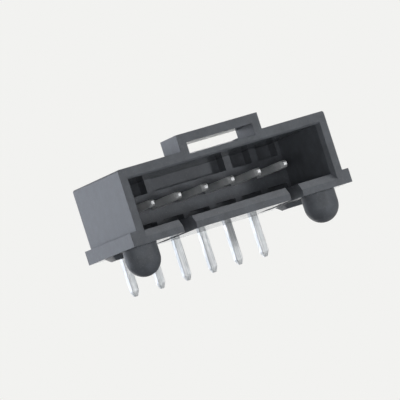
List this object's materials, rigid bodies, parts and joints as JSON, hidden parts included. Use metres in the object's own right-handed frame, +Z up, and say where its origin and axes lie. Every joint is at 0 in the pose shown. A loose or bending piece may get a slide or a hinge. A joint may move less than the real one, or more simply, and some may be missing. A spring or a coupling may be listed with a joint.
{
  "type": "pin header",
  "caption": "Right-angle shrouded pin header: dark moulded box open at the front, latch loop on top, board pegs below, square pins bent down at the rear to solder into a circuit board.",
  "frame": {"origin": "midway between the two board pegs, on the face of the circuit board that the feet stand on", "axes": "+X along the row of contacts, +Y from the mouth to the rear, the way the plug goes in, +Z up from the board"},
  "size_m": [0.0208, 0.0121, 0.0114],
  "materials": {
    "housing_plastic": "fine matt moulded surface, dark charcoal grey",
    "tinned_wire": "bright tin plating on square drawn wire"
  },
  "bodies": {
    "root": {"housing": "housing_plastic", "contact_wall": "housing_plastic", "contact_pin_1": "tinned_wire", "contact_pin_2": "tinned_wire", "contact_pin_3": "tinned_wire", "contact_pin_4": "tinned_wire", "contact_pin_5": "tinned_wire", "contact_pin_6": "tinned_wire"}
  },
  "joints": []
}
